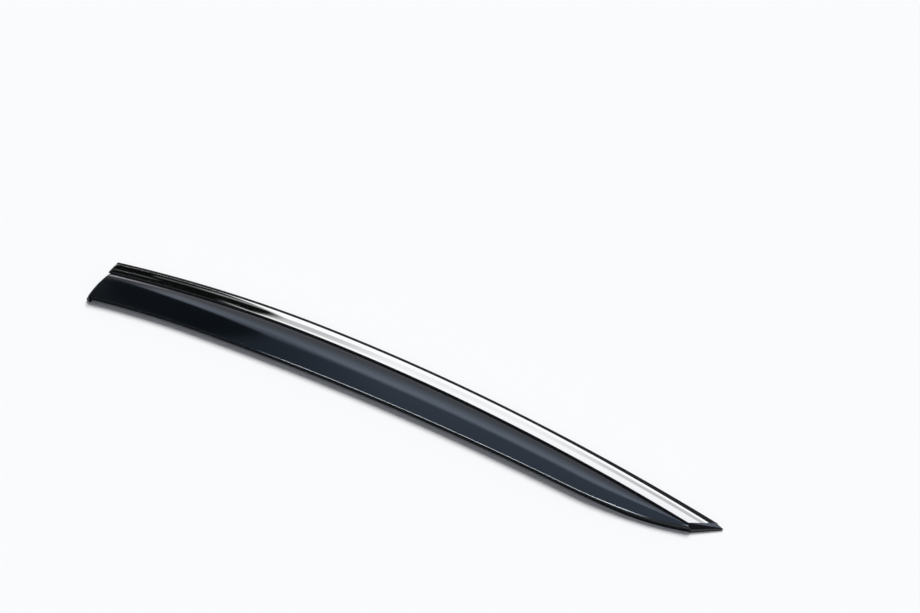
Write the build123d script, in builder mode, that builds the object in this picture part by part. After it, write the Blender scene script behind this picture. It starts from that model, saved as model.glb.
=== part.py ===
"""Window rain deflector for the rear side door of a car, lying face up as it rests on a table.

Millimetres, +Z up. +X runs from the square end to the pointed tip, and +Y is the side of the rim that
follows the window frame. Every long piece is one section carried along the rim, which is two tangent
arcs in plan.
"""
import os
from math import asin, cos, degrees, radians, sin

from build123d import *

# Rim in plan: two tangent arcs that meet at the joint, where the design has its origin
end_arc_radius = 1745.0
main_arc_radius = 2738.0
joint_heading = 2.52
joint_to_square_end = 297.0
joint_to_tip = 558.0

# Section of the visor: a tilted mounting flange, a crowned blade and a turned-down lip
flange_tilt = 18.0
flange_width = 26.2
visor_wall = 2.8
crown_radius = 87.0
lip_bottom = 4.5
fold_radius = 1.2

# Lower edge of the blade: depths inward from the rim, and distances along the rim from the ends
lip_depth_at_square_end = 62.9
lip_overrun = 18.3
lip_depth_at_joint = 72.8
lip_tail_from_tip = 175.9
lip_tail_depth = 60.6
lip_turn_from_tip = 72.3
lip_turn_depth = 44.5
lip_end_from_tip = 28.8
lip_end_past_ridge = 2.2

# Trim moulding that hooks over the flange, with a channel for the bright strip
hook_wall = 2.4
back_rim_width = 4.4
front_rim_width = 1.2
trim_base = 1.2
rim_height = 2.2
rim_round = 1.0
front_rim_round = 0.4
trim_end_wall = 1.8

# Bright strip
strip_wall = 0.8
strip_dome = 0.7

# Mitre where the bright strip gives way to the cap, as distances along the rim from the tip
mitre_from_tip_at_ridge = 36.6
mitre_from_tip_at_rim = 15.1

# Tip cap
cap_overhang = 0.5
cap_ridge_drop = 0.5
cap_rim_height = 5.0
cap_tip_height = 3.2
cap_front_height = 5.5
cap_crest_round = 2.5
cap_brow_round = 0.8

# Seal that closes the square end and carries it on the table
seal_step = 0.8
seal_front = 5.5
seal_nose_round = 2.0
foot_reach = 3.7
foot_height = 4.8
foot_length = 62.0
foot_round = 1.5

# Foam tape under the flange
tape_width = 12.0
tape_thickness = 1.2
tape_setback = 8.0
tape_end_gap = 10.0

# Worked out from the sizes above
tilt = radians(flange_tilt)
heading = radians(joint_heading)
outward = Vector(sin(heading), cos(heading))
along = Vector(cos(heading), -sin(heading))
trim_top = visor_wall + rim_height
trim_floor = visor_wall + trim_base
strip_back = back_rim_width
strip_front = flange_width - front_rim_width
strip_top = trim_floor + strip_wall
clear_height = 2 * crown_radius
sweep_margin = 6.0
end_sweep = joint_to_square_end / radians(end_arc_radius) + sweep_margin
main_sweep = joint_to_tip / radians(main_arc_radius) + sweep_margin

end_axis = Axis(-outward * end_arc_radius, (0, 0, 1))
main_axis = Axis(-outward * main_arc_radius, (0, 0, -1))
joint_plane = Plane(origin=(0, 0, 0), x_dir=-outward, z_dir=-along)


def rim_point(station, depth):
    """Plan point at a distance along the rim from the joint, and a depth inward from the rim."""
    radius = end_arc_radius if station < 0 else main_arc_radius
    turn = station / radius
    return (outward * cos(turn) + along * sin(turn)) * (radius - depth) - outward * radius


def on_flange(across, above):
    """Section point at a distance across the flange from its back edge, and a height above its underside."""
    return (across * cos(tilt) - above * sin(tilt), across * sin(tilt) + above * cos(tilt))


def on_crown(below, angle):
    """Section point at a depth below the blade's top, and an angle in degrees from the crown's top line."""
    centre_depth, centre_height = on_flange(flange_width, visor_wall - crown_radius)
    radius = crown_radius - below
    return (centre_depth + radius * sin(radians(angle)), centre_height + radius * cos(radians(angle)))


crest_depth = on_crown(0, 0)[0]
crown_reach = degrees(asin((lip_depth_at_joint + 2 * seal_front - crest_depth) / crown_radius))


def crown_arc(below):
    """The blade's arc at a depth below its top, from the flange to well past the lip."""
    ThreePointArc(*[on_crown(below, angle) for angle in (-flange_tilt, 0, crown_reach)])


def carry_along_rim(section):
    """Revolve the section that was just drawn along the end arc, and again along the main arc."""
    revolve(axis=end_axis, revolution_arc=end_sweep)
    revolve(section.sketch, axis=main_axis, revolution_arc=main_sweep)


def square_end_plane(inset):
    """Upright plane across the square end, moved toward the tip by the inset."""
    return Plane(origin=(inset - joint_to_square_end, 0, 0), z_dir=(1, 0, 0))


ridge_depth = on_flange(flange_width, visor_wall)[0]
tip_point = rim_point(joint_to_tip, -cap_overhang)
mitre_ridge = rim_point(joint_to_tip - mitre_from_tip_at_ridge, ridge_depth)
mitre_rim = rim_point(joint_to_tip - mitre_from_tip_at_rim, -cap_overhang)
mitre_run = mitre_rim - mitre_ridge
mitre_plane = Plane(origin=mitre_ridge, z_dir=(mitre_run.Y, -mitre_run.X, 0))

# Lower edge of the blade in plan
lip_start = rim_point(-joint_to_square_end - lip_overrun, lip_depth_at_square_end)
lip_tail = rim_point(joint_to_tip - lip_tail_from_tip, lip_tail_depth)
lip_turn = rim_point(joint_to_tip - lip_turn_from_tip, lip_turn_depth)
lip_end = rim_point(joint_to_tip - lip_end_from_tip, ridge_depth + lip_end_past_ridge)

with BuildLine() as lip_line:
    main_edge = ThreePointArc(lip_start, rim_point(0, lip_depth_at_joint), lip_tail)
    tail_edge = TangentArc(lip_tail, lip_turn, tangent=main_edge % 1)
    TangentArc(lip_turn, lip_end, tangent=tail_edge % 1)

# Plan lines of the short walls that close the square end and the mitre
with BuildLine() as closing_lines:
    Line((-joint_to_square_end, lip_start.Y), (-joint_to_square_end, 0))
    Line(lip_end, mitre_ridge)

# Whole plan of the visor, open past the rim so that only the lip, the square end and the mitre cut it
with BuildSketch() as visor_plan:
    with BuildLine():
        add(lip_line.line)
        behind_tip = mitre_rim + mitre_run
        behind_end = lip_start + outward * 2 * lip_depth_at_joint
        Polyline(lip_end, mitre_ridge, behind_tip, (behind_tip.X, behind_end.Y), behind_end, lip_start)
    make_face()
    split(bisect_by=square_end_plane(0), keep=Keep.TOP)

# Flange and blade as one sheet, before the plan is cut
with BuildPart() as sheet:
    with BuildSketch(joint_plane) as sheet_section:
        with BuildLine():
            crown_arc(0)
            Line(on_crown(0, crown_reach), on_crown(visor_wall, crown_reach))
            crown_arc(visor_wall)
            Polyline(on_flange(flange_width, 0), on_flange(hook_wall, 0), on_flange(hook_wall, visor_wall),
                     on_flange(flange_width, visor_wall))
        make_face()
    carry_along_rim(sheet_section)

# Space between the middle of the blade's wall and the bottom of the lip
with BuildPart() as lip_space:
    with BuildSketch(joint_plane) as lip_section:
        with BuildLine():
            crown_arc(visor_wall / 2)
            inner_top = on_crown(visor_wall / 2, -flange_tilt)
            outer_top = on_crown(visor_wall / 2, crown_reach)
            Polyline(outer_top, (outer_top[0], lip_bottom), (inner_top[0], lip_bottom), inner_top)
        make_face()
    carry_along_rim(lip_section)


def is_fold(edge):
    """True for the edges where the blade's top meets the lip."""
    middle = edge @ 0.5
    beside_lip = lip_line.line.distance_to(Vector(middle.X, middle.Y, 0)) < fold_radius / 10
    return beside_lip and middle.Z > lip_bottom + visor_wall and abs((edge % 0.5).Z) < 0.5


# Visor: the sheet cut to plan, with walls turned down along the lip, the square end and the mitre
with BuildPart() as visor:
    with BuildSketch():
        trace(lip_line.line, line_width=2 * visor_wall)
        trace(closing_lines.line, line_width=2 * visor_wall)
    extrude(amount=clear_height)
    add(lip_space.part, mode=Mode.INTERSECT)
    add(sheet.part)
    with BuildSketch(Plane.XY.offset(-clear_height)):
        add(visor_plan.sketch)
    extrude(amount=2 * clear_height, mode=Mode.INTERSECT)
    fillet(visor.edges().filter_by(is_fold), radius=fold_radius)
visor.part.label = "visor"

# Space that the bright strip fills in the trim, open at the top
with BuildPart() as channel:
    with BuildSketch(joint_plane) as channel_section:
        with BuildLine():
            Polyline(on_flange(strip_back, trim_floor), on_flange(strip_front, trim_floor),
                     on_flange(strip_front, 2 * trim_top), on_flange(strip_back, 2 * trim_top), close=True)
        make_face()
    carry_along_rim(channel_section)
    split(bisect_by=square_end_plane(0), keep=Keep.TOP)


def rounded_corner(across, inward):
    """Top corner of the trim as a smooth curve, at a distance across the flange, reaching inward and down."""
    Bezier(on_flange(across, trim_top - abs(inward)), on_flange(across, trim_top),
           on_flange(across + inward, trim_top))


# Trim moulding: a hook over the flange's back edge, a base and two rims, closed at the square end
with BuildPart() as trim_moulding:
    with BuildSketch(joint_plane) as trim_section:
        with BuildLine():
            rounded_corner(0, rim_round)
            Line(on_flange(rim_round, trim_top), on_flange(flange_width - front_rim_round, trim_top))
            rounded_corner(flange_width, -front_rim_round)
            Polyline(on_flange(flange_width, trim_top - front_rim_round), on_flange(flange_width, visor_wall),
                     on_flange(hook_wall, visor_wall), on_flange(hook_wall, 0), on_flange(0, 0),
                     on_flange(0, trim_top - rim_round))
        make_face()
    carry_along_rim(trim_section)
    split(bisect_by=square_end_plane(-trim_end_wall), keep=Keep.TOP)
    split(bisect_by=mitre_plane, keep=Keep.BOTTOM)
    add(channel.part, mode=Mode.SUBTRACT)
trim_moulding.part.label = "trim_moulding"

# Bright strip: a thin domed band whose edges stand on the floor of the channel
with BuildPart() as bright_strip:
    with BuildSketch(joint_plane) as strip_section:
        with BuildLine():
            strip_middle = (strip_back + strip_front) / 2
            for height in (trim_floor, strip_top):
                Bezier(on_flange(strip_back, height), on_flange(strip_middle, height + 2 * strip_dome),
                       on_flange(strip_front, height))
            for edge in (strip_back, strip_front):
                Line(on_flange(edge, trim_floor), on_flange(edge, strip_top))
        make_face()
    carry_along_rim(strip_section)
    split(bisect_by=square_end_plane(0), keep=Keep.TOP)
    split(bisect_by=mitre_plane, keep=Keep.BOTTOM)
bright_strip.part.label = "bright_strip"

# Tip cap: a wedge with two facets on top that meet in a rounded crest
cap_crest_start = mitre_ridge + Vector(0, 0, on_flange(flange_width, trim_top)[1] - cap_ridge_drop)
cap_crest_end = tip_point + Vector(0, 0, cap_tip_height)
cap_rim_corner = mitre_rim + Vector(0, 0, cap_rim_height)
cap_front_corner = lip_end + Vector(0, 0, cap_front_height)


def plane_through(first, second, third):
    """Plane through three points, facing up."""
    normal = (second - first).cross(third - first)
    return Plane(origin=first, z_dir=normal if normal.Z > 0 else -normal)


with BuildPart() as tip_cap:
    with BuildSketch():
        with BuildLine():
            Polyline(mitre_ridge, mitre_rim, tip_point, lip_end, close=True)
        make_face()
    extrude(amount=clear_height)
    split(bisect_by=plane_through(cap_crest_start, cap_rim_corner, cap_crest_end), keep=Keep.BOTTOM)
    split(bisect_by=plane_through(cap_crest_start, cap_front_corner, cap_crest_end), keep=Keep.BOTTOM)
    crest = tip_cap.edges().sort_by_distance((cap_crest_start + cap_crest_end) / 2)[0]
    fillet(crest, radius=cap_crest_round)
    brow = tip_cap.edges().sort_by_distance((cap_front_corner + cap_crest_end) / 2)[0]
    fillet(brow, radius=cap_brow_round)
tip_cap.part.label = "tip_cap"

# End seal: an upright over the cut end of the visor, on a flat foot that reaches outward
lip_corner = visor_plan.vertices().group_by(Axis.X)[0].sort_by(Axis.Y)[0]
seal_nose = lip_corner.Y - seal_front

with BuildPart() as end_seal:
    with BuildSketch(joint_plane) as seal_section:
        with BuildLine():
            crown_arc(seal_step)
            seal_far = on_crown(seal_step, crown_reach)
            Polyline(seal_far, (seal_far[0], 0), (on_flange(hook_wall, 0)[0], 0), on_flange(hook_wall, 0),
                     on_flange(hook_wall, visor_wall), on_flange(flange_width, visor_wall),
                     on_flange(flange_width, visor_wall - seal_step))
        make_face()
    carry_along_rim(seal_section)
    split(bisect_by=square_end_plane(-trim_end_wall), keep=Keep.TOP)
    split(bisect_by=square_end_plane(0), keep=Keep.BOTTOM)
    split(bisect_by=Plane(origin=(0, seal_nose, 0), z_dir=(0, 1, 0)), keep=Keep.TOP)
    fillet(end_seal.edges().group_by(Axis.Y)[0].sort_by(Axis.Z)[-1], radius=seal_nose_round)
    with BuildSketch():
        with Locations((-joint_to_square_end - trim_end_wall, seal_nose)):
            Rectangle(foot_reach, foot_length, align=(Align.MAX, Align.MIN))
    extrude(amount=foot_height)
    fillet(end_seal.edges().filter_by(Axis.Z).group_by(Axis.X)[0], radius=foot_round)
end_seal.part.label = "end_seal"

# Foam tape under the flange, short of both ends
with BuildPart() as mounting_tape:
    with BuildSketch(joint_plane) as tape_section:
        with BuildLine():
            tape_front = tape_setback + tape_width
            tape_bottom = -tape_thickness
            Polyline(on_flange(tape_setback, 0), on_flange(tape_front, 0), on_flange(tape_front, tape_bottom),
                     on_flange(tape_setback, tape_bottom), close=True)
        make_face()
    carry_along_rim(tape_section)
    split(bisect_by=square_end_plane(tape_end_gap), keep=Keep.TOP)
    split(bisect_by=mitre_plane.offset(-tape_end_gap), keep=Keep.BOTTOM)
mounting_tape.part.label = "mounting_tape"

# Origin at the bottom centre of the whole part
pieces = (visor, trim_moulding, bright_strip, tip_cap, end_seal, mounting_tape)
whole = Compound([piece.part for piece in pieces]).bounding_box()
os.makedirs("parts", exist_ok=True)
for piece in pieces:
    piece.part.position = -Vector(whole.center().X, whole.center().Y, whole.min.Z)
    export_step(piece.part, f"parts/{piece.part.label}.step")
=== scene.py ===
# %% [markdown]
# # A window rain deflector in a small studio
# The part is a long arched visor of smoked acrylic. A black moulding hooks over its upper edge and holds
# a bright strip, a pointed cap closes one end and a rubber seal the other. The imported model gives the
# true places. This lesson rebuilds the pieces that show as fine meshes with rounded edges, because
# polished surfaces are judged by their reflections, and a reflection breaks on a coarse mesh.

import bmesh
import bpy
import numpy as np
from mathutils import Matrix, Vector


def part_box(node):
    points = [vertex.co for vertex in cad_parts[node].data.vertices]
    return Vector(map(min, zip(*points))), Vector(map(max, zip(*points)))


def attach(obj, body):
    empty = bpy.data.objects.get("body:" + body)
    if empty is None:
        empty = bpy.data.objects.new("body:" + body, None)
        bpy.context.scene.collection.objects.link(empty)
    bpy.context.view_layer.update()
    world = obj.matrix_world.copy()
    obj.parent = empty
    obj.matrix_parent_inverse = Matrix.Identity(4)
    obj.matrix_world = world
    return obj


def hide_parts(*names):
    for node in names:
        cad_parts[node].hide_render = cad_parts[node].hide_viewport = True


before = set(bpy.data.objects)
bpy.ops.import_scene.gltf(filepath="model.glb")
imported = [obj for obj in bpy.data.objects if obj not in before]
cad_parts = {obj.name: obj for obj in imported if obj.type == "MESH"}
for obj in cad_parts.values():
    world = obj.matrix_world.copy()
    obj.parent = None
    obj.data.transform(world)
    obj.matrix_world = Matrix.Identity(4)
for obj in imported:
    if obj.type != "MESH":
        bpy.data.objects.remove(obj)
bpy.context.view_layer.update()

# %% [markdown]
# ## The sizes
# The model is drawn in millimetres from a few sizes, and made metres at the very end. The rim, the line
# that follows the window frame, is two tangent arcs in plan. They meet at the joint, the origin of the
# drawing. The section is a tilted flange, a crowned blade and a lip that is turned down. The joint's
# place in the frame comes from two pieces with straight edges: the visor's square end and the cap's back
# corner.

# %% Sizes in millimetres
millimetre = 0.001
end_arc_radius = 1745.0
main_arc_radius = 2738.0
heading = np.radians(2.52)
joint_to_square_end = 297.0
joint_to_tip = 558.0
cap_corner_from_tip = 15.1

tilt = np.radians(18.0)
flange_width = 26.2
visor_wall = 2.8

trim_top = visor_wall + 2.2
trim_floor = visor_wall + 1.2
trim_end_wall = 1.8
hook_wall = 2.4
strip_back = 4.8
strip_front = flange_width - 1.2
strip_wall = 0.8
strip_dome = 0.12
cap_overhang = 0.5

outward = np.array([np.sin(heading), np.cos(heading)])
along = np.array([np.cos(heading), -np.sin(heading)])


def on_flange(across, above):
    """Depth and height of a section point: a distance across the tilted flange, and one square to it."""
    return (across * np.cos(tilt) - above * np.sin(tilt),
            across * np.sin(tilt) + above * np.cos(tilt))


def rim(station, depth):
    """Plan point: a distance along the rim from the joint, then a depth inward along the arc's radius."""
    station, depth = np.broadcast_arrays(station, depth)
    radius = np.where(station < 0, end_arc_radius, main_arc_radius)
    turn = heading + station / radius
    arm = np.stack([np.sin(turn), np.cos(turn)], axis=-1) * (radius - depth)[..., None]
    return arm - radius[..., None] * outward


def rim_place(plan):
    """Station and depth of plan points, the way back from rim: the arm's angle and its length."""
    radius = np.where(plan @ along < 0, end_arc_radius, main_arc_radius)
    arm = plan + radius[..., None] * outward
    return (np.arctan2(arm[..., 0], arm[..., 1]) - heading) * radius, radius - np.linalg.norm(arm, axis=-1)


cap_corner = rim(joint_to_tip - cap_corner_from_tip, -cap_overhang)
joint = np.array([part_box("visor")[0].x / millimetre + joint_to_square_end,
                  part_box("tip_cap")[1].y / millimetre - cap_corner[1]])
print("joint in the frame, mm:", joint.round(2))

# %% [markdown]
# ## Where the long pieces start and stop
# The moulding and its strip are cut square to the rim. The blade below them is cut on a line that leans a
# little: it starts at the nose of the seal and moves in towards the rim. At the other end a mitre runs
# from the ridge to the rim, and the pointed cap sits on it.

# %% Ends of the long pieces
trim_start = -299.2
strip_start = -298.4
flange_start = -297.8
end_lean = np.radians(5.9)
ridge_depth, ridge_height = on_flange(flange_width, visor_wall)
mitre_at_ridge = joint_to_tip - 36.0
mitre_at_rim = joint_to_tip - 10.2

seal_nose = np.array([-joint_to_square_end - trim_end_wall,
                      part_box("end_seal")[0].y / millimetre - joint[1]])
end_inward = np.array([np.cos(end_lean), -np.sin(end_lean)])
end_backward = np.array([np.sin(end_lean), np.cos(end_lean)])


def blade_start(depth):
    """Station at which a line of one depth meets the blade's leaning end: the angle whose sine fits."""
    level = seal_nose @ end_inward + trim_end_wall + end_arc_radius * np.sin(heading - end_lean)
    return end_arc_radius * (np.arcsin(level / (end_arc_radius - depth)) + end_lean - heading)


def mitre_station(depth):
    """Station at which a line of one depth meets the mitre: linear from ridge to rim."""
    share = (ridge_depth - depth) / (ridge_depth + cap_overhang)
    return mitre_at_ridge + share * (mitre_at_rim - mitre_at_ridge)


def carried(share, across, above, start):
    """Section points carried along the rim, from a start station at share 0 to the mitre at share 1."""
    depth, height = on_flange(across, above)
    plan = rim(start + share * (mitre_station(depth) - start), depth)
    return np.concatenate([plan, np.broadcast_to(height, plan.shape[:-1])[..., None]], axis=-1)


print("blade starts at", blade_start(ridge_depth).round(1), "mitre at", round(mitre_station(0.0), 1), "mm")

# %% [markdown]
# ## A closed shell from two surfaces
# Every piece here has an outer and an inner surface. Both are worked out on the same grid, so the shell
# is closed by joining their borders point by point. A Solidify modifier could give a sheet its wall as
# well, but here the inner side is seldom a plain offset of the outer one. Points that fall together, as
# along a sharp edge, are merged, and the faces are turned outwards. Edges sharper than the limit stay
# crisp, the rest is smooth. Each point keeps how far across its grid it lies, for a finish that changes
# there.

# %% Shell builder
crisp_edge = np.radians(40.0)
merge_distance = 2e-7


def quads(first, second, third, fourth):
    """Faces from four arrays of corner numbers."""
    return np.stack([first, second, third, fourth], axis=-1).reshape(-1, 4)


def shell(name, *layers):
    """One mesh object from pairs of outer and inner grids, each grid rows x columns x 3 in millimetres."""
    points = []
    faces = []
    across = []
    count = 0
    for outer, inner in layers:
        rows, columns = outer.shape[:2]
        top = np.arange(rows * columns).reshape(rows, columns) + count
        under = top + rows * columns
        faces.append(quads(top[:-1, :-1], top[1:, :-1], top[1:, 1:], top[:-1, 1:]))
        faces.append(quads(under[:-1, :-1], under[:-1, 1:], under[1:, 1:], under[1:, :-1]))
        for border, far in ((top[0], under[0]), (top[-1], under[-1]), (top[:, 0], under[:, 0]),
                            (top[:, -1], under[:, -1])):
            faces.append(quads(border[:-1], border[1:], far[1:], far[:-1]))
        points += [outer.reshape(-1, 3), inner.reshape(-1, 3)]
        across.append(np.tile(np.linspace(0, 1, columns), 2 * rows))
        count += 2 * rows * columns
    placed = np.concatenate(points) + np.array([*joint, 0.0])
    mesh = bpy.data.meshes.new(name)
    mesh.from_pydata(placed * millimetre, [], np.concatenate(faces).tolist())
    mesh.attributes.new("across", "FLOAT", "POINT").data.foreach_set("value", np.concatenate(across))
    work = bmesh.new()
    work.from_mesh(mesh)
    bmesh.ops.remove_doubles(work, verts=work.verts, dist=merge_distance)
    bmesh.ops.dissolve_degenerate(work, edges=work.edges, dist=merge_distance)
    bmesh.ops.recalc_face_normals(work, faces=work.faces)
    work.to_mesh(mesh)
    work.free()
    mesh.shade_smooth()
    mesh.set_sharp_from_angle(angle=crisp_edge)
    piece = bpy.data.objects.new(name, mesh)
    bpy.context.scene.collection.objects.link(piece)
    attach(piece, "root")
    print(name, len(mesh.vertices), "points", len(mesh.polygons), "faces")
    return piece


print("crisp from", round(np.degrees(crisp_edge)), "degrees")

# %% [markdown]
# ## The lip line
# The blade's lower edge is nearly straight at the square end, bows in the middle and sweeps in towards
# the tip. In plan it is four tangent arcs: one through three points, and others that leave its two ends
# in the same direction. A Bezier curve could follow it too, but the bend of an arc is even, and so is the
# light along it. The line is resampled by its length.

# %% Lip line in plan
lip_start = rim(-315.3, 67.4)
lip_bow = rim(-150.0, 71.2)
lip_middle = rim(80.0, 71.8)
lip_tail = rim(380.0, 60.1)
lip_turn = rim(465.0, 48.0)
lip_end = rim(joint_to_tip - 28.8, ridge_depth + 1.3)
arc_points = 400


def arc_about(centre, first, last):
    """Points at even angles on the short arc about a centre, from one end to the other."""
    start = np.arctan2(*(first - centre)[::-1])
    turn = np.arctan2(*(last - centre)[::-1]) - start
    turn = (turn + np.pi) % (2 * np.pi) - np.pi
    angle = start + turn * np.linspace(0, 1, arc_points)
    reach = np.linalg.norm(first - centre)
    return centre + reach * np.stack([np.cos(angle), np.sin(angle)], axis=-1)


def centre_through(first, second, third):
    """Centre of the circle through three points: where the bisectors of two chords cross."""
    chords = np.stack([second - first, third - first])
    return first + np.linalg.solve(chords, (chords ** 2).sum(axis=1) / 2)


def centre_leaving(before, first, last):
    """Centre of the circle that leaves a point in the last arc's direction and reaches another."""
    direction = (first - before) / np.linalg.norm(first - before)
    side = np.array([-direction[1], direction[0]])
    chord = last - first
    return first + side * (chord @ chord) / (2 * chord @ side)


main_lip = arc_about(centre_through(lip_bow, lip_middle, lip_tail), lip_bow, lip_tail)
head_lip = arc_about(centre_leaving(main_lip[1], lip_bow, lip_start), lip_bow, lip_start)[::-1]
tail_lip = arc_about(centre_leaving(main_lip[-2], lip_tail, lip_turn), lip_tail, lip_turn)
last_lip = arc_about(centre_leaving(tail_lip[-2], lip_turn, lip_end), lip_turn, lip_end)
lip_line = np.concatenate([head_lip, main_lip[1:], tail_lip[1:], last_lip[1:]])
lip_length = np.append(0.0, np.cumsum(np.linalg.norm(np.diff(lip_line, axis=0), axis=1)))
lip_first = np.interp(seal_nose @ end_inward + trim_end_wall, lip_line @ end_inward, lip_length)


def lip_at(share):
    """Lip points at shares of the lip's length, from the leaning end to the cap."""
    length = lip_first + share * (lip_length[-1] - lip_first)
    return np.stack([np.interp(length, lip_length, lip_line[:, axis]) for axis in (0, 1)], axis=-1)


print("lip length, mm:", round(lip_length[-1] - lip_first, 1))

# %% [markdown]
# ## The visor
# On the real part the visor is one sheet, pressed to shape: flange, crowned blade, a tight fold and the
# lip. A subdivided cage could give the shape, but rows of exact arcs keep the reflections even. Each row
# of the outer surface joins a point of the ridge to a point of the lip by an arc that leaves the ridge at
# the flange's tilt and comes down to the fold. Towards the tip the blade gets narrow and its fold sinks,
# so the arc gets tighter there. The fold is part of a small circle that touches the blade and the lip. It
# is almost sharp at the square end, then round enough to catch a fine line of light, and roundest near
# the tip.

# %% Visor rows
visor_rows = 430
fold_height = 11.4
fold_sink = 3.0
fold_sink_start = 400.0
lip_bottom = 2.8
lip_sink = 2.3
lip_sink_start = 390.0
lip_sink_end = 480.0

share = np.linspace(0, 1, visor_rows)[:, None]
ridge_start = blade_start(ridge_depth)
ridge_line = rim(ridge_start + share[:, 0] * (mitre_at_ridge - ridge_start), ridge_depth)
lip_points = lip_at(share[:, 0])
lip_station = rim_place(lip_points)[0][:, None]
blade_width = np.linalg.norm(lip_points - ridge_line, axis=1)[:, None]
blade_across = (lip_points - ridge_line) / blade_width


def eased(value, start, end):
    """Smooth step, 0 before the start and 1 after the end: three squares less two cubes of the way."""
    way = np.clip((value - start) / (end - start), 0.0, 1.0)
    return way * way * (3 - 2 * way)


lip_sunk = eased(lip_station, lip_sink_start, lip_sink_end)
fold_rise = fold_height - fold_sink * eased(lip_station, fold_sink_start, lip_station[-1]) - ridge_height
hem_bottom = lip_bottom - lip_sink * lip_sunk
blade_radius = (blade_width ** 2 + fold_rise ** 2) / (
    2 * (blade_width * np.sin(tilt) - fold_rise * np.cos(tilt)))


def blade_height(inset):
    """Height of the blade at an inset from the lip: the row's arc, tangent to the flange at the ridge."""
    from_crest = blade_width - inset - blade_radius * np.sin(tilt)
    return ridge_height - blade_radius * np.cos(tilt) + np.sqrt(blade_radius ** 2 - from_crest ** 2)


print("blade width, mm:", blade_width.min().round(1), "to", blade_width.max().round(1),
      "crown radius:", blade_radius.min().round(1), "to", blade_radius.max().round(1))

# %% Fold and hem
fold_columns = 13
lip_columns = 5
hem_columns = 6
fold_radius = 1.2
sharp_radius = 0.008
sharp_until = -70.0
soft_from = 15.0
round_radius = 2.4
round_from = 390.0
round_until = 460.0
lip_hem = 0.5
lip_tuck = 1.0
thin_share = 0.6
nudge = 0.1

wall = np.minimum(visor_wall, thin_share * blade_width)
softer = (fold_radius - sharp_radius) * eased(lip_station, sharp_until, soft_from)
rounder = (round_radius - fold_radius) * eased(lip_station, round_from, round_until)
fold = np.minimum(sharp_radius + softer + rounder, thin_share * blade_width)
fall = np.arctan2(blade_height(fold + nudge) - blade_height(fold - nudge), 2 * nudge)
fold_middle = blade_height(fold) - fold / np.cos(fall)
fold_turn = fall + (np.pi / 2 - fall) * np.linspace(0, 1, fold_columns)
hem_turn = np.linspace(0, np.pi / 2, hem_columns)
lip_drop = np.linspace(0, 1, lip_columns, endpoint=False)[1:]
hem_inset = lip_hem * (1 - np.cos(hem_turn))
hem_height = hem_bottom + lip_hem * (1 - np.sin(hem_turn))
tuck = lip_tuck * (1 - lip_sunk)
print("fold radius, mm:", fold.min().round(3), "to", fold.max().round(2))

# %% Visor surfaces
flange_columns = 6
crown_columns = 44


def lip_grid(inset, height):
    """Grid from insets, measured from the lip towards the ridge, and heights, rows x columns each."""
    plan = lip_points[:, None, :] - inset[..., None] * blade_across[:, None, :]
    return np.concatenate([plan, height[..., None]], axis=-1)


flange_across = np.linspace(hook_wall, flange_width, flange_columns, endpoint=False)
crown_inset = blade_width + np.linspace(0, 1, crown_columns, endpoint=False) * (
    fold * (1 - np.sin(fall)) - blade_width)
outer_insets = np.concatenate([crown_inset, fold * (1 - np.sin(fold_turn)), lip_drop * tuck,
                               tuck + hem_inset, tuck + wall / 2], axis=1)
outer_heights = np.concatenate([
    blade_height(crown_inset), fold_middle + fold * np.cos(fold_turn),
    fold_middle + lip_drop * (hem_height[:, :1] - fold_middle), hem_height, hem_bottom], axis=1)
visor_outer = np.concatenate([carried(share, flange_across, visor_wall, flange_start),
                              lip_grid(outer_insets, outer_heights)], axis=1)

under_ridge = blade_width - visor_wall * np.sin(tilt)
under_inset = under_ridge + np.linspace(0, 1, crown_columns + fold_columns) * (wall - under_ridge)
under_height = blade_height(under_inset) - visor_wall / np.cos(tilt)
under_edge = under_height[:, -1:]
inner_insets = np.concatenate([under_inset, wall + lip_drop * tuck, tuck + wall - hem_inset,
                               tuck + wall / 2], axis=1)
inner_heights = np.concatenate([under_height, under_edge + lip_drop * (hem_height[:, :1] - under_edge),
                                hem_height, hem_bottom], axis=1)
visor_inner = np.concatenate([carried(share, flange_across, 0.0, flange_start),
                              lip_grid(inner_insets, inner_heights)], axis=1)
visor = shell("smoked_visor", (visor_outer, visor_inner))
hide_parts("visor")

# %% [markdown]
# ## The trim moulding
# The moulding is one extrusion with a hook at the back and a channel between two rims. Its profile is a
# chain of points, straight runs and quarter turns, carried along the rim. A curve with a bevel profile
# could do that, but this profile changes on its way: at the square end the channel is filled by an end
# wall and the corner is rounded in plan and on top, and near the tip the border behind the strip gets
# wider.

# %% Trim profile
hook_round = 0.5
back_round = 1.0
rim_edge_round = 0.25
lap_round = 0.04
front_round = 0.4
turn_points = 7


def run(first, last, count):
    """Even points from one section point towards another, without the last."""
    return np.linspace(first, last, count, endpoint=False)


def quarter(centre, radius, start):
    """Quarter turn about a centre, clockwise from a start angle in degrees, without its last point."""
    angle = np.radians(start - np.linspace(0, 90, turn_points, endpoint=False))
    return np.array(centre) + radius * np.stack([np.cos(angle), np.sin(angle)], axis=-1)


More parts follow.
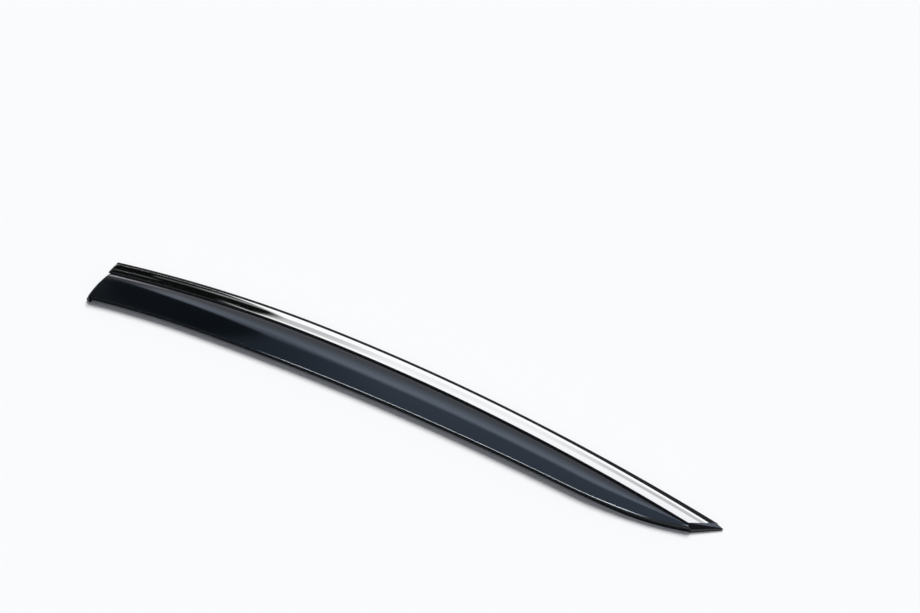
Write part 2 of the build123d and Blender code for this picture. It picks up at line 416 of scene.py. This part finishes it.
trim_outside = np.concatenate([
    run((hook_wall, 0.0), (hook_round, 0.0), 3),
    quarter((hook_round, hook_round), hook_round, -90),
    run((0.0, hook_round), (0.0, trim_top - back_round), 4),
    quarter((back_round, trim_top - back_round), back_round, 180),
    run((back_round, trim_top), (strip_back - rim_edge_round, trim_top), 5),
    quarter((strip_back - rim_edge_round, trim_top - rim_edge_round), rim_edge_round, 90),
    run((strip_back, trim_top - rim_edge_round), (strip_back, trim_floor), 3),
    run((strip_back, trim_floor), (strip_front, trim_floor), 5),
    run((strip_front, trim_floor), (strip_front, trim_top - lap_round), 3),
    quarter((strip_front + lap_round, trim_top - lap_round), lap_round, 180),
    run((strip_front + lap_round, trim_top), (flange_width - front_round, trim_top), 3),
    quarter((flange_width - front_round, trim_top - front_round), front_round, 90),
    run((flange_width, trim_top - front_round), (flange_width, visor_wall), 3),
    [(flange_width, visor_wall)]])
# The inside turns its corner at the point where the outside has just reached the top.
off_top = trim_outside[:, 1] < trim_top
inside_corner = np.argmin(np.abs(trim_outside[:, 0] - back_round) + flange_width * off_top)
trim_inside = np.concatenate([
    run((hook_wall, 0.0), (hook_wall, visor_wall), inside_corner),
    np.linspace((hook_wall, visor_wall), (flange_width, visor_wall), len(trim_outside) - inside_corner)])
print("trim profile:", len(trim_outside), "points")

# %% Trim moulding
trim_rows = 420
corner_rows = 12
corner_round = 1.6
corner_step = 0.4
wall_step = 1e-3
end_top_round = 0.7
border_start = 300.0
border_end = 540.0
border_out = 0.9
border_in = 1.3
border_foot = 1.5

trim_length = mitre_station(0.0) - trim_start
end_rows = np.concatenate([corner_round * (1 - np.cos(np.linspace(0, np.pi / 2, corner_rows))),
                           [corner_round + corner_step]])
wall_rows = strip_start - trim_start - np.array([wall_step, 0.0])
first_rows = np.sort(np.concatenate([end_rows, wall_rows]))
from_end = np.concatenate([first_rows, np.linspace(first_rows[-1], trim_length, trim_rows)[1:]])[:, None]
trim_share = from_end / trim_length


def round_off(distance, radius):
    """How far a rounded corner stands back, at a distance from the end: a quarter circle of that radius."""
    inside = np.clip(radius - distance, 0.0, radius)
    return radius - np.sqrt(radius ** 2 - inside ** 2)


def border_growth(station):
    """How much of its extra width the back border has at a station: linear, 0 before and 1 after."""
    return np.clip((station - border_start) / (border_end - border_start), 0.0, 1.0)


border_places = [0.0, back_round, strip_back - 2 * rim_edge_round, strip_back, strip_front]
border_moves = [-border_out, -border_out, border_in, border_in, 0.0]
border_shift = np.interp(trim_outside[:, 0], border_places, border_moves)
border_shift = border_shift * np.clip(trim_outside[:, 1] / border_foot, 0.0, 1.0)
trim_across = trim_outside[:, 0] + border_shift * border_growth(trim_start + from_end)
trim_across = np.maximum(trim_across, np.minimum(round_off(from_end, corner_round), hook_wall) - border_out)
in_channel = (trim_outside[:, 0] > strip_back - 2 * rim_edge_round) & (
    trim_outside[:, 0] < strip_front + 2 * rim_edge_round)
filled = np.where(in_channel & (from_end < strip_start - trim_start), trim_top, trim_outside[:, 1])
trim_above = np.minimum(filled, trim_top - round_off(from_end, end_top_round))
trim_outer = carried(trim_share, trim_across, trim_above, trim_start)
trim_inner = carried(trim_share, trim_inside[:, 0] + 0 * from_end,
                     np.minimum(trim_inside[:, 1], trim_above), trim_start)
trim = shell("trim_moulding_rounded", (trim_outer, trim_inner))
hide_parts("trim_moulding")

# %% [markdown]
# ## The bright strip
# A thin domed band of bright metal lies in the channel. Its section is a parabola that is flatter in its
# front half. The back edge is rolled over and catches a fine line of light, and the front edge is crisp
# beside the moulding's rim. A bent box could stand in for it, but the dome is so shallow that only a
# formula puts the bands of the reflection where they belong.

# %% Bright strip
strip_columns = 61
strip_rows = 430
back_edge_round = 0.45
front_edge_round = 0.03
front_flattening = 0.55
strip_end_round = 0.3
strip_end_rows = 6

strip_share = np.linspace(0, 1, strip_columns)
strip_across = strip_back + (strip_front - strip_back) * (1 - np.cos(np.pi * strip_share)) / 2
edge_fall = (round_off(strip_across - strip_back, back_edge_round)
             + round_off(strip_front - strip_across, front_edge_round))
width_share = (strip_across - strip_back) / (strip_front - strip_back)
flatter = np.where(width_share > 0.5, front_flattening, 1.0)
dome_rise = strip_dome * (1 - flatter * (2 * width_share - 1) ** 2)
strip_length = mitre_station(0.0) - strip_start
strip_end_turn = np.linspace(0, np.pi / 2, strip_end_rows)
strip_from_end = np.concatenate([strip_end_round * (1 - np.cos(strip_end_turn)),
                                 np.linspace(strip_end_round, strip_length, strip_rows)[1:]])[:, None]
strip_under = trim_floor + dome_rise + 0 * strip_from_end
strip_over = strip_under + strip_wall - edge_fall - round_off(strip_from_end, strip_end_round)
strip_narrowed = strip_across + border_in * (1 - width_share) * border_growth(strip_start + strip_from_end)
strip_outer = carried(strip_from_end / strip_length, strip_narrowed, strip_over, strip_start)
strip_inner = carried(strip_from_end / strip_length, strip_narrowed, strip_under, strip_start)
strip = shell("bright_strip_domed", (strip_outer, strip_inner))
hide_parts("bright_strip")

# %% [markdown]
# ## The tip cap
# The cap is a small moulded wedge. From above it is a pointed leaf between the mitre and the tip. Two
# flat facets meet in a soft crest. It could be cut from a block and bevelled, but a bevel fails at a
# point as fine as this. Here the top is the lower of two planes, blended where they come close, and the
# sides are upright with a rounded brow.

# %% Cap facets
crest_blend = 1.1
cap_rim_height = 5.0
cap_tip_height = 3.4
cap_front_height = 5.4
cap_ridge_drop = 0.5
cap_shoulder = 1.4

mitre_ridge = rim(mitre_at_ridge, ridge_depth)
mitre_rim = rim(mitre_at_rim, -cap_shoulder)
tip_point = rim(joint_to_tip, -cap_overhang)
crest_start = np.append(mitre_ridge, on_flange(flange_width, trim_top)[1] - cap_ridge_drop)
crest_end = np.append(tip_point, cap_tip_height)
rim_corner = np.append(mitre_rim, cap_rim_height)
front_corner = np.append(lip_end, cap_front_height)


def plane_height(plan, first, second, third):
    """Height of the plane through three points, at plan points: its normal's equation solved for height."""
    normal = np.cross(second - first, third - first)
    return first[2] - ((plan - first[:2]) @ normal[:2]) / normal[2]


def cap_height(plan):
    """The lower of the two facets, with a parabola where they are closer than the blend."""
    back = plane_height(plan, crest_start, rim_corner, crest_end)
    front = plane_height(plan, crest_start, front_corner, crest_end)
    close = np.clip(1 - np.abs(back - front) / crest_blend, 0.0, 1.0)
    return np.minimum(back, front) - close ** 2 * crest_blend / 4


print("cap crest, mm:", crest_start[2].round(2), "falling to", crest_end[2].round(2))

# %% Cap outline
nose_round = 0.25


def unit(vector):
    """The vector at length one."""
    return vector / np.linalg.norm(vector)


to_rim = unit(mitre_rim - tip_point)
to_lip = unit(lip_end - tip_point)
half_angle = np.arccos(to_rim @ to_lip) / 2
nose_centre = tip_point + unit(to_rim + to_lip) * nose_round / np.sin(half_angle)
nose_from = tip_point + to_rim * nose_round / np.tan(half_angle)
nose_to = tip_point + to_lip * nose_round / np.tan(half_angle)
nose_line = arc_about(nose_centre, nose_from, nose_to)
mitre_line = np.stack([mitre_rim, mitre_ridge, lip_end])
mitre_reach = np.append(0.0, np.cumsum(np.linalg.norm(np.diff(mitre_line, axis=0), axis=1)))


def cap_plan(forward, across):
    """Plan points of the cap, straight lines from the mitre at 0 to the rounded nose at 1."""
    back_side = [np.interp(across, mitre_reach / mitre_reach[-1], mitre_line[:, axis]) for axis in (0, 1)]
    nose_side = [np.interp(across, np.linspace(0, 1, arc_points), nose_line[:, axis]) for axis in (0, 1)]
    return (1 - forward)[..., None] * np.stack(back_side, -1) + forward[..., None] * np.stack(nose_side, -1)


print("angle of the cap's point, degrees:", np.degrees(2 * half_angle).round(1))

# %% Tip cap
cap_rows = 60
cap_columns = 41
brow_columns = 7
side_columns = 5
brow_round = 0.7
brow_limit = 0.3

forward = np.linspace(0, 1, cap_rows)[:, None]
cap_sides = [cap_plan(forward, np.array([[side]])) for side in (0.0, 1.0)]
cap_width = np.linalg.norm(cap_sides[1] - cap_sides[0], axis=-1)
brow = np.minimum(brow_round, brow_limit * cap_width)
brow_turn = np.linspace(0, np.pi / 2, brow_columns)[:-1]
brow_share = brow / cap_width
across_top = brow_share + np.linspace(0, 1, cap_columns) * (1 - 2 * brow_share)
side_share = np.linspace(0, 1, side_columns, endpoint=False)
edge_share = brow * (1 - np.cos(brow_turn)) / cap_width
edge_drop = brow * (1 - np.sin(brow_turn))
cap_across = np.concatenate([0 * side_share + 0 * forward, edge_share, across_top, 1 - edge_share[:, ::-1],
                             1 + 0 * side_share + 0 * forward], axis=1)
cap_points = cap_plan(forward + 0 * cap_across, cap_across)
drop = np.concatenate([edge_drop[:, :1] + 0 * side_share, edge_drop, 0 * across_top, edge_drop[:, ::-1],
                       edge_drop[:, :1] + 0 * side_share], axis=1)
lift = np.concatenate([side_share, np.ones(cap_across.shape[1] - 2 * side_columns), side_share[::-1]])
cap_outer = np.concatenate([cap_points, (lift * (cap_height(cap_points) - drop))[..., None]], axis=-1)
cap_inner = np.concatenate([cap_points, 0 * cap_points[..., :1]], axis=-1)
cap = shell("tip_cap_rounded", (cap_outer, cap_inner))
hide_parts("tip_cap")

# %% [markdown]
# ## The end seal
# A rubber upright covers the cut square end, and its foot reaches outward on the table. Two bevelled
# boxes could stand in for them. One profile makes both without a seam: from the visor's end out along the
# bottom, round the foot, and up the upright. It is carried from the nose in front of the lip to the
# flange's hook. Where there is no foot its reach shrinks to nothing.

# %% Seal along the end
seal_rows = 90
nose_rows = 9
seal_step = 0.5
nose_top_round = 2.0
foot_reach = 3.7
foot_height = 4.8
foot_length = 62.0
foot_round = 1.5
hook_from_nose = 69.0

from_nose = np.concatenate([nose_top_round * (1 - np.cos(np.linspace(0, np.pi / 2, nose_rows))),
                            np.linspace(nose_top_round, hook_from_nose, seal_rows)[1:]])[:, None]
seal_depth = rim_place(seal_nose + from_nose * end_backward)[1][:, None]
end_radius = blade_radius[0]
from_crest = seal_depth - ridge_depth - end_radius * np.sin(tilt)
over_blade = ridge_height - end_radius * np.cos(tilt) + np.sqrt(end_radius ** 2 - from_crest ** 2)
seal_top = np.where(seal_depth > ridge_depth, over_blade - seal_step, seal_depth * np.tan(tilt))
seal_top = seal_top - round_off(from_nose, nose_top_round)
reach = foot_reach - round_off(from_nose, foot_round) - round_off(foot_length - from_nose, foot_round)
reach = np.where(from_nose < foot_length, np.maximum(reach, 0.0), 0.0)
print("seal top, mm:", seal_top.min().round(2), "to", seal_top.max().round(2))

# %% End seal
foot_columns = 6
flat_columns = 3
upright_columns = 12
edge_columns = 5
foot_edge = 0.8
seal_edge = 0.4

foot_turn = np.linspace(0, np.pi / 2, foot_columns)
top_turn = np.linspace(0, np.pi / 2, edge_columns)
foot_bulge = np.minimum(foot_edge, reach)
flat = 0 * from_nose
level = np.zeros(flat_columns)
outward_share = np.linspace(0, 1, flat_columns)
foot_out = np.concatenate([outward_share * reach, reach - foot_bulge * (1 - np.cos(foot_turn)),
                           outward_share[::-1] * (reach - foot_bulge)], axis=1)
foot_up = np.concatenate([flat + level, flat + foot_height - foot_edge * (1 - np.sin(foot_turn)),
                          flat + foot_height + level], axis=1)
upright_share = np.linspace(0, 1, upright_columns)[1:]
upright_up = foot_height + upright_share * (seal_top - seal_edge - foot_height)
edge_out = -seal_edge * (1 - np.cos(top_turn))[1:]
edge_up = seal_top - seal_edge * (1 - np.sin(top_turn))[1:]
seal_out = np.concatenate([foot_out, 0 * upright_up, flat + edge_out], axis=1)
seal_up = np.minimum(np.concatenate([foot_up, upright_up, edge_up], axis=1), seal_top)


def seal_grid(out, height):
    """Grid on the leaning end: along it from the nose, out from its face, and a height."""
    plan = seal_nose + from_nose[..., None] * end_backward - out[..., None] * end_inward
    return np.concatenate([plan, height[..., None]], axis=-1)


seal_outer = seal_grid(seal_out, seal_up)
seal_inner = seal_grid(-trim_end_wall + 0 * seal_out, np.linspace(0, 1, seal_out.shape[1]) * seal_top)
seal = shell("end_seal_rubber", (seal_outer, seal_inner))
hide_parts("end_seal")

# %% [markdown]
# ## Shader sums
# The finishes are written as sums on sockets. The small class below wraps one output of a node, so that
# Python's own operators add Math nodes, and its one method makes any other node.

# %% Wires between shader nodes


class Wire:
    """An output socket of a shader tree that can stand in a Python sum."""

    def __init__(self, tree, socket=None):
        self.tree = tree
        self.socket = socket

    def make(self, kind, settings=None, sockets=None, output=0):
        """A node of one kind: its settings first, then the values or wires of its sockets."""
        node = self.tree.nodes.new(kind)
        for name, value in (settings or {}).items():
            if name == "stops":
                ramp = node.color_ramp.elements
                while len(ramp) < len(value):
                    ramp.new(1.0)
                for stop, (place, colour) in zip(ramp, value):
                    stop.position = place
                    stop.color = colour
            else:
                setattr(node, name, value)
        for name, value in (sockets or {}).items():
            if isinstance(value, Wire):
                self.tree.links.new(value.socket, node.inputs[name])
            else:
                node.inputs[name].default_value = value
        return Wire(self.tree, node.outputs[output])

    def math(self, operation, first, second=0.0):
        """A Math node on two numbers or wires."""
        return self.make("ShaderNodeMath", {"operation": operation}, {0: first, 1: second})

    def __add__(self, other):
        return self.math("ADD", self, other)

    __radd__ = __add__

    def __sub__(self, other):
        return self.math("SUBTRACT", self, other)

    def __rsub__(self, other):
        return self.math("SUBTRACT", other, self)

    def __mul__(self, other):
        return self.math("MULTIPLY", self, other)

    __rmul__ = __mul__

    def __truediv__(self, other):
        return self.math("DIVIDE", self, other)

    def __rtruediv__(self, other):
        return self.math("DIVIDE", other, self)


def finish(name, **values):
    """A new material with one Principled shader; plain values are set on its own sockets."""
    material = bpy.data.materials.new(name)
    material.use_nodes = True
    shader = material.node_tree.nodes["Principled BSDF"]
    for socket, value in values.items():
        shader.inputs[socket.replace("_", " ")].default_value = value
    return material, shader, Wire(material.node_tree)


def feed(shader, socket, wire):
    """Link a wire to a socket of the Principled shader."""
    wire.tree.links.new(wire.socket, shader.inputs[socket])


def dress(piece, material):
    """Give a piece its one material."""
    piece.data.materials.clear()
    piece.data.materials.append(material)


def noise(place, scale, detail):
    """Cloudy noise around one half, at a place in metres times a scale."""
    sockets = {"Vector": place, "Scale": scale, "Detail": detail}
    return place.make("ShaderNodeTexNoise", sockets=sockets, output="Fac")


def blend(share, first, second):
    """One colour where a wire is 0, another where it is 1, and their mean by weight between."""
    sockets = {"Factor": share, "A": first, "B": second}
    return share.make("ShaderNodeMix", {"data_type": "RGBA"}, sockets, output=2)


def rise(value, start, end):
    """Smooth step of a wire: 0 up to the start, 1 from the end."""
    return value.make("ShaderNodeMapRange", {"interpolation_type": "SMOOTHSTEP"},
                      {"Value": value, "From Min": start, "From Max": end})


print("shader helpers ready")

# %% [markdown]
# ## Smoked acrylic
# The visor is moulded from dark tinted acrylic with a polished face, nearly black with a little navy. The
# gloss is a clear coat that fades out over the fold, because the lip is duller than the blade. Handling
# leaves faint smudges. A painted picture could hold them, but noise at the object's own places needs no
# unwrapping. They change the roughness, and the colour hardly at all.

# %% Smoked acrylic
coat_weight = 0.76
coat_full_until = 0.795
coat_gone_from = 0.863
smudge_scale = 28.0
speck_scale = 1400.0
polished = 0.02
smudged = 0.06
deep_navy = (0.0016, 0.0034, 0.0056, 1)
pale_navy = (0.003, 0.005, 0.008, 1)

acrylic, shader, tree = finish("smoked_acrylic", IOR=1.49, Alpha=0.95, Specular_IOR_Level=0.12,
                               Coat_IOR=1.49, Coat_Roughness=0.05)
across = tree.make("ShaderNodeAttribute", {"attribute_name": "across"}, output="Fac")
feed(shader, "Coat Weight", coat_weight * (1 - rise(across, coat_full_until, coat_gone_from)))
place = tree.make("ShaderNodeTexCoord", output="Object")
smudge = noise(place, smudge_scale, detail=5.0)
speck = noise(place, speck_scale, detail=2.0)
feed(shader, "Roughness", polished + smudged * smudge)
feed(shader, "Base Color", blend(0.6 * smudge + 0.2 * speck, deep_navy, pale_navy))
dress(visor, acrylic)
print("nodes in the acrylic:", len(acrylic.node_tree.nodes))

# %% [markdown]
# ## Bright metal
# The strip is bright rolled metal. Rolling leaves very fine lines along its length. An anisotropic shader
# could smear the light along them, but here the noise that changes the roughness is simply stretched
# along the part.

# %% Bright metal
rolled_scale = (6.0, 900.0, 900.0)
metal_roughness = 0.015
rolled_roughness = 0.02
grey_metal = (0.86, 0.87, 0.88, 1)
pale_metal = (0.93, 0.93, 0.93, 1)

metal, shader, tree = finish("bright_metal", Metallic=1.0)
place = tree.make("ShaderNodeTexCoord", output="Object")
rolled = tree.make("ShaderNodeMapping", sockets={"Vector": place, "Scale": rolled_scale})
rolled_lines = noise(rolled, scale=1.0, detail=3.0)
feed(shader, "Roughness", metal_roughness + rolled_roughness * rolled_lines)
feed(shader, "Base Color", blend(rolled_lines, grey_metal, pale_metal))
dress(strip, metal)
print("nodes in the metal:", len(metal.node_tree.nodes))

# %% [markdown]
# ## Black mouldings, rubber and foam
# The trim and the cap are satin black plastic with a fine moulded grain. The seal is duller rubber, and
# the tape under the flange is foam with small cells. Each could have its own nodes, but one recipe with
# other numbers serves for all of them.

# %% Black finishes
cloud_scale = 35.0
grain_strength = 0.5


def grained(name, dark, light, roughness, spread, grain_scale, grain_depth, specular):
    """Dull black finish: fine noise moves colour and roughness a little and gives the grain its height."""
    material, shader, tree = finish(name, Specular_IOR_Level=specular)
    place = tree.make("ShaderNodeTexCoord", output="Object")
    grain = noise(place, grain_scale, detail=3.0)
    cloud = noise(place, cloud_scale, detail=4.0)
    feed(shader, "Base Color", blend(0.5 * grain + 0.5 * cloud, (*dark, 1), (*light, 1)))
    feed(shader, "Roughness", roughness + spread * cloud)
    bump_sockets = {"Height": grain, "Strength": grain_strength, "Distance": grain_depth}
    feed(shader, "Normal", tree.make("ShaderNodeBump", sockets=bump_sockets))
    return material


dress(trim, grained(
    "black_moulding", dark=(0.004, 0.004, 0.005), light=(0.009, 0.009, 0.010), roughness=0.30, spread=0.12,
    grain_scale=2500.0, grain_depth=0.00003, specular=0.06))
dress(cap, grained(
    "black_cap", dark=(0.005, 0.005, 0.006), light=(0.010, 0.010, 0.011), roughness=0.14, spread=0.10,
    grain_scale=2200.0, grain_depth=0.00004, specular=0.5))
dress(seal, grained(
    "black_rubber", dark=(0.006, 0.006, 0.006), light=(0.014, 0.014, 0.014), roughness=0.50, spread=0.20,
    grain_scale=1800.0, grain_depth=0.00006, specular=0.3))
dress(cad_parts["mounting_tape"], grained(
    "foam_tape", dark=(0.020, 0.020, 0.021), light=(0.060, 0.060, 0.062), roughness=0.80, spread=0.15,
    grain_scale=1500.0, grain_depth=0.0002, specular=0.3))
print("black finishes done")

# %% [markdown]
# ## Floor
# The table is white and dull. A plane primitive would do as well. This one is a single square of points,
# a hair below the part, so that the two surfaces never lie in one place.

# %% Floor
floor_size = 12.0
floor_gap = 0.00005

floor_mesh = bpy.data.meshes.new("floor")
floor_square = np.array([[-1, -1, 0], [1, -1, 0], [1, 1, 0], [-1, 1, 0]])
floor_corners = floor_size * floor_square - [0, 0, floor_gap]
floor_mesh.from_pydata(floor_corners, [], [(0, 1, 2, 3)])
floor = bpy.data.objects.new("floor", floor_mesh)
bpy.context.scene.collection.objects.link(floor)
paper, shader, tree = finish("white_table", Roughness=0.9, Specular_IOR_Level=0.0,
                             Base_Color=(0.97, 0.97, 0.965, 1))
dress(floor, paper)
print("floor width, m:", 2 * floor_size)

# %% [markdown]
# ## The studio that the gloss shows
# A polished dark sheet has hardly any colour of its own: what is seen on it is the room. Lamps could
# stand all around, but each would light the table as well. Here the world is painted by direction and
# only glossy rays see it, so it changes the reflections and not the light. Two angles in degrees say
# where a ray goes: the climb, from the horizon behind the part over the zenith to the front, and the lean
# to the left or right. Behind the part stands a white sweep. Above it a softbox gets brighter up to its
# top edge, then come the dimmer ceiling and a narrow lamp in front. The left of the room is dark, behind
# the softbox's slanting side, apart from the thin lines that the strip shows there. High on the right the
# room is dim.

# %% Studio directions
degree = np.pi / 180

world = bpy.data.worlds.new("studio")
bpy.context.scene.world = world
world.use_nodes = True
tree = Wire(world.node_tree)
direction = tree.make("ShaderNodeTexCoord", output="Generated")
aside, behind, up = [tree.make("ShaderNodeSeparateXYZ", sockets={"Vector": direction}, output=axis)
                     for axis in range(3)]
climb = tree.math("ARCTAN2", up, behind) / degree
lean = tree.math("ARCSINE", aside) / degree


def band(value, start, end, soft):
    """A soft-edged band of a wire: 1 between the start and the end, 0 outside."""
    return rise(value, start - soft, start + soft) * (1 - rise(value, end - soft, end + soft))


def scaled(colour, strength):
    """A colour times a wire, through Vector Math."""
    sockets = {"Vector": colour, "Scale": strength}
    return strength.make("ShaderNodeVectorMath", {"operation": "SCALE"}, sockets)


print("nodes for the two angles:", len(world.node_tree.nodes))

# %% White sweep, softbox and ceiling
strip_climb = 22.1
strip_slope = 0.137
softbox_top = 55.0
softbox_slant = 0.35
ceiling_start = 58.0
ceiling_slant = 0.045
dark_side = -21.8
sweep_edge = -21.2
sweep_bow = 0.45
half_turn = 180
sweep_colours = (
    (0, (1.08, 1.08, 1.08)), (13, (1.10, 1.10, 1.10)), (21, (1.08, 1.08, 1.09)), (25, (0.92, 0.92, 0.96)),
    (31, (0.82, 0.84, 0.93)), (40, (1.27, 1.45, 1.75)), (48, (2.05, 2.35, 2.95)), (53, (2.3, 2.75, 3.4)),
    (60, (0.68, 0.85, 1.15)), (100, (0.66, 0.86, 1.15)), (130, (0.5, 0.55, 0.65)), (180, (0.6, 0.6, 0.6)))

from_strip = climb - strip_climb - strip_slope * lean
softbox = rise(from_strip, start=2.6, end=3.2)
slant = softbox_slant * tree.math("MAXIMUM", softbox_top - climb, 0.0)
above = ceiling_slant * tree.math("MAXIMUM", climb - ceiling_start, 0.0)
in_softbox = lean - dark_side + slant + above
in_sweep = lean - sweep_edge + sweep_bow * from_strip * from_strip
inside = softbox * in_softbox + (1 - softbox) * in_sweep
stops = [(angle / half_turn, (*colour, 1)) for angle, colour in sweep_colours]
sweep = tree.make("ShaderNodeValToRGB", {"stops": stops}, {"Fac": climb / half_turn}, output="Color")
print("colours from the sweep to the ceiling:", len(stops))

# %% Softbox edge and stripe
edge_start = 5.6
edge_fade = 0.104
edge_least = 0.45
edge_most = 3.0
stripe_middle = 0.12
stripe_more = 0.35
stripe_lean = 0.073

edge = tree.math("MAXIMUM", edge_start - edge_fade * climb, edge_least)
edge = 1 + softbox * (tree.math("MINIMUM", edge, edge_most) - 1)
veil = edge + (1 - edge) * rise(inside, start=0.5, end=6.0)
stripe_ends = rise(lean, start=-8.0, end=-1.0) + 1 - rise(lean, start=-19.0, end=-14.5)
stripe = stripe_middle + stripe_more * stripe_ends
stripe = stripe * band(from_strip + stripe_lean * lean, start=-1.7, end=-0.1, soft=0.3)
print("the softbox's edge is at most", edge_most, "times as bright")

# %% Lines on the dark side
line_slope = 0.27
line_lean = 29.5
line_least = 0.75
high_strength = 0.58
low_strength = 0.12
low_more = 0.25
mid_strength = 0.10

line_place = from_strip - tree.math("MAXIMUM", line_slope * (lean + line_lean), line_least)
high_line = high_strength * band(line_place, start=-0.2, end=0.2, soft=0.15)
high_line = high_line * rise(lean, start=-24.8, end=-22.8)
low_line = low_strength * rise(lean, start=-28.5, end=-28.0) + low_more * rise(lean, start=-26.5, end=-24.5)
low_line = low_line * band(from_strip, start=-1.5, end=-0.9, soft=0.4)
mid_line = mid_strength * band(from_strip, start=0.3, end=0.6, soft=0.15)
mid_line = mid_line * (1 - rise(lean, start=-28.6, end=-27.6))
dark_lines = high_line + low_line + mid_line
print("brightest line:", high_strength)

# %% Dark side
dark_tint = (0.95, 1.0, 1.0)
dark_level = 0.004
upper_level = 0.05
far_left_level = 0.30
far_left_slope = 0.1
far_left_climb = 45.0
far_left_lean = 33.2
low_wall_level = 0.85

far_left_edge = far_left_slope * tree.math("MAXIMUM", climb, far_left_climb) - lean - far_left_lean
far_left = rise(far_left_edge, start=0.0, end=1.0) * rise(climb, start=22.0, end=30.0)
low_wall = low_wall_level * (1 - rise(from_strip, start=-5.5, end=-3.2))
dark_strength = dark_level + upper_level * rise(climb, start=21.0, end=26.0) + far_left_level * far_left
dark = scaled(dark_tint, dark_strength + dark_lines + low_wall)
print("darkest level:", dark_level)

# %% Front lamp and the whole room
glow_drop = 1.7
right_dimming = 0.85
lamp_strength = 18.0
lamp_tint = (0.92, 1.0, 1.08)

deep_left = 1 - rise(lean, start=-29.0, end=-26.0)
glow = 1 + deep_left * (1.0 - glow_drop * rise(from_strip, start=5.8, end=9.0)) * softbox
right_side = 1 - right_dimming * rise(lean, start=20.0, end=30.0) * rise(climb, start=58.0, end=70.0)
lamp_sides = rise(lean, start=-25.0, end=-23.0) * (1 - rise(lean, start=-5.5, end=2.5))
lamp = lamp_strength * band(climb, start=114.0, end=161.0, soft=2.0) * lamp_sides
bright = scaled(sweep, veil * (1 - stripe) * right_side * glow)
room = blend(rise(inside, start=-0.6, end=0.7), dark, bright)
room = tree.make("ShaderNodeVectorMath", {"operation": "ADD"}, {0: room, 1: scaled(lamp_tint, lamp)})
print("front lamp:", lamp_strength, "times white")

# %% Which rays see it
ambient = (0.19, 0.20, 0.22, 1)
white = (1, 1, 1, 1)

glossy = tree.make("ShaderNodeLightPath", output="Is Glossy Ray")
seen = tree.make("ShaderNodeLightPath", output="Is Camera Ray")
shown = blend(seen, blend(glossy, ambient, room), white)
background = world.node_tree.nodes["Background"]
world.node_tree.links.new(shown.socket, background.inputs["Color"])
print("world nodes:", len(world.node_tree.nodes))

# %% [markdown]
# ## Lamp and camera
# One broad sun high behind the part lights it and throws the soft shadow towards the camera. An area lamp
# could do it, but a sun lights the whole table evenly. Glossy rays don't see it, since the room has a
# lamp of its own. The camera's place and direction were fitted to the measured edges of the part.

# %% Lamp
sun_strength = 3.0
sun_width = 32
towards_sun = Vector((0.05, 0.66, 1.0))

key_light = bpy.data.lights.new("key", "SUN")
key_light.energy = sun_strength
key_light.angle = sun_width * degree
key = bpy.data.objects.new("key", key_light)
key.rotation_euler = towards_sun.to_track_quat("Z", "Y").to_euler()
key.visible_glossy = False
bpy.context.scene.collection.objects.link(key)
print("sun's climb, degrees:", round(np.arctan2(towards_sun.z, towards_sun.y) / degree))

# %% Camera
image_width = 920
focal_pixels = 1500.0
camera_place = (0.51693, -0.97763, 1.477)
camera_look = Vector((-0.2591, 0.5882, -0.7660))

camera_data = bpy.data.cameras.new("camera")
camera_data.sensor_width = 36.0
camera_data.lens = focal_pixels / image_width * camera_data.sensor_width
camera_data.clip_start = 0.01
camera = bpy.data.objects.new("camera", camera_data)
camera.location = camera_place
camera.rotation_euler = camera_look.to_track_quat("-Z", "Y").to_euler()
bpy.context.scene.collection.objects.link(camera)
bpy.context.scene.camera = camera
bpy.context.scene.view_settings.view_transform = "Standard"
print("lens, mm:", round(camera_data.lens, 1))
